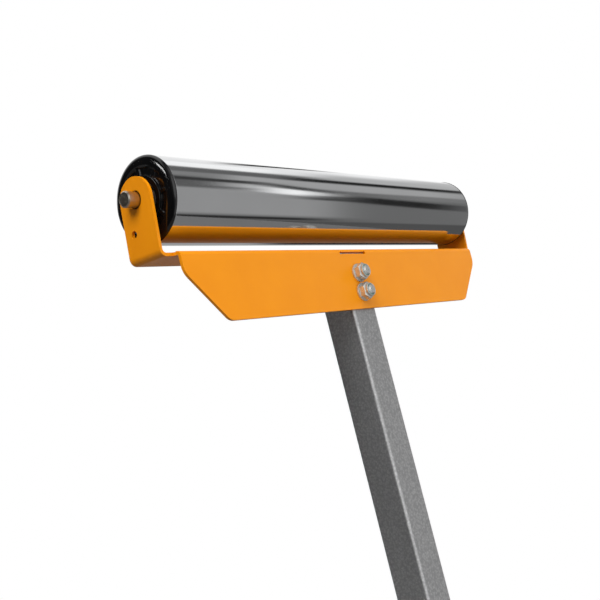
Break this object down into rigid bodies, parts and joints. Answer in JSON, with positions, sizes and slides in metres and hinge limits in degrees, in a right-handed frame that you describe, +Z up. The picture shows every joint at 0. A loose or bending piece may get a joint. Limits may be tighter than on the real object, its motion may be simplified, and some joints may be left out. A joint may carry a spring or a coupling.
{
  "type": "roller stand",
  "caption": "Folding work-support stand: a plated roller in a bent sheet head on a leaning telescopic post, with a hinged rear leg and rubber-footed crossbars.",
  "frame": {"origin": "on the floor, under the middle of the stand's bounding box", "axes": "+X along the roller, +Y from the front foot to the rear leg, +Z up"},
  "size_m": [0.436, 0.4793, 0.9502],
  "materials": {
    "chrome_plate": "polished hard chrome plate",
    "orange_powder_coat": "smooth satin powder coat",
    "grey_hammer_paint": "fine hammertone enamel",
    "zinc_plate": "bright zinc plate",
    "bright_steel": "turned bright steel bar with dull sawn ends",
    "spring_steel": "dark phosphated spring steel",
    "bearing_steel": "ground bearing steel",
    "cage_nylon": "moulded nylon",
    "insert_nylon": "moulded nylon",
    "brass": "turned brass",
    "gloss_black_abs": "glossy moulded plastic",
    "satin_black_plastic": "satin moulded plastic",
    "black_rubber": "moulded rubber"
  },
  "bodies": {
    "mast": {"outer_post": "grey_hammer_paint", "post_collar": "satin_black_plastic", "clamp_nut": "grey_hammer_paint", "hinge_bracket": "orange_powder_coat", "slide_guide": "orange_powder_coat", "hinge_bolt": "zinc_plate", "hinge_nut": "zinc_plate", "foot_saddle": "orange_powder_coat", "foot_bolt": "zinc_plate", "foot_nut": "zinc_plate", "foot_washer": "zinc_plate", "post_end_plug": "satin_black_plastic"},
    "head": {"head_bracket": "orange_powder_coat", "inner_post": "grey_hammer_paint", "inner_post_glide": "satin_black_plastic", "head_bolts": "zinc_plate", "head_washers": "zinc_plate", "head_nuts": "zinc_plate", "nut_inserts": "insert_nylon", "axle": "bright_steel", "axle_clips": "spring_steel", "axle_spacers": "zinc_plate", "bearing_inner_left": "bearing_steel", "bearing_inner_right": "bearing_steel", "bearing_balls_left": "bearing_steel", "bearing_balls_right": "bearing_steel", "bearing_cage_left": "cage_nylon", "bearing_cage_right": "cage_nylon"},
    "roller": {"roller_tube": "chrome_plate", "end_cap_left": "gloss_black_abs", "end_cap_right": "gloss_black_abs", "bearing_outer_left": "bearing_steel", "bearing_outer_right": "bearing_steel"},
    "clamp_tip": {"clamp_pad": "brass"},
    "clamp_handle": {"clamp_screw": "zinc_plate", "clamp_knob": "satin_black_plastic"},
    "leg": {"rear_leg": "grey_hammer_paint", "hinge_bush": "zinc_plate", "leg_top_plug": "satin_black_plastic", "rear_crossbar": "grey_hammer_paint", "rear_cap_left": "black_rubber", "rear_cap_right": "black_rubber", "stay_bolt": "zinc_plate", "stay_nut": "zinc_plate", "stay_spacers": "zinc_plate"},
    "stay": {"stay_bar_left": "orange_powder_coat", "stay_bar_right": "orange_powder_coat", "slide_bolt": "zinc_plate", "slide_nut": "zinc_plate"},
    "front_foot": {"front_crossbar": "grey_hammer_paint", "crossbar_bush": "zinc_plate", "front_cap_left": "black_rubber", "front_cap_right": "black_rubber"}
  },
  "joints": [
    {"name": "post_slide", "type": "slide", "parent": "mast", "child": "head", "axis": [0, 0.314, 0.9494], "range_m": [-0.2844, 0.1211]},
    {"name": "roller_spin", "type": "hinge", "parent": "head", "child": "roller", "pos_m": [0, 0.12683, 0.9175], "axis": [1, 0, 0], "continuous": true},
    {"name": "pad_slide", "type": "slide", "parent": "mast", "child": "clamp_tip", "axis": [0, -0.9494, 0.314], "range_m": [0, 0.0023]},
    {"name": "knob_turn", "type": "hinge", "parent": "clamp_tip", "child": "clamp_handle", "pos_m": [0, -0.0415, 0.4788], "axis": [0, -0.9494, 0.314], "range_deg": [0, 540]},
    {"name": "leg_fold", "type": "hinge", "parent": "mast", "child": "leg", "pos_m": [0, 0.01246, 0.43146], "axis": [-1, 0, 0], "range_deg": [0, 41]},
    {"name": "stay_swing", "type": "hinge", "parent": "leg", "child": "stay", "pos_m": [0, 0.09783, 0.26172], "axis": [1, 0, 0], "range_deg": [0, 82]},
    {"name": "foot_tilt", "type": "hinge", "parent": "mast", "child": "front_foot", "pos_m": [0, -0.21275, 0.036], "axis": [0, 0.9494, -0.314], "range_deg": [-6, 6]}
  ],
  "couplings": [
    {"joint": "pad_slide", "follows": "knob_turn", "m_per_rad": 0.00023873},
    {"joint": "stay_swing", "follows": "leg_fold", "ratio": 2}
  ]
}
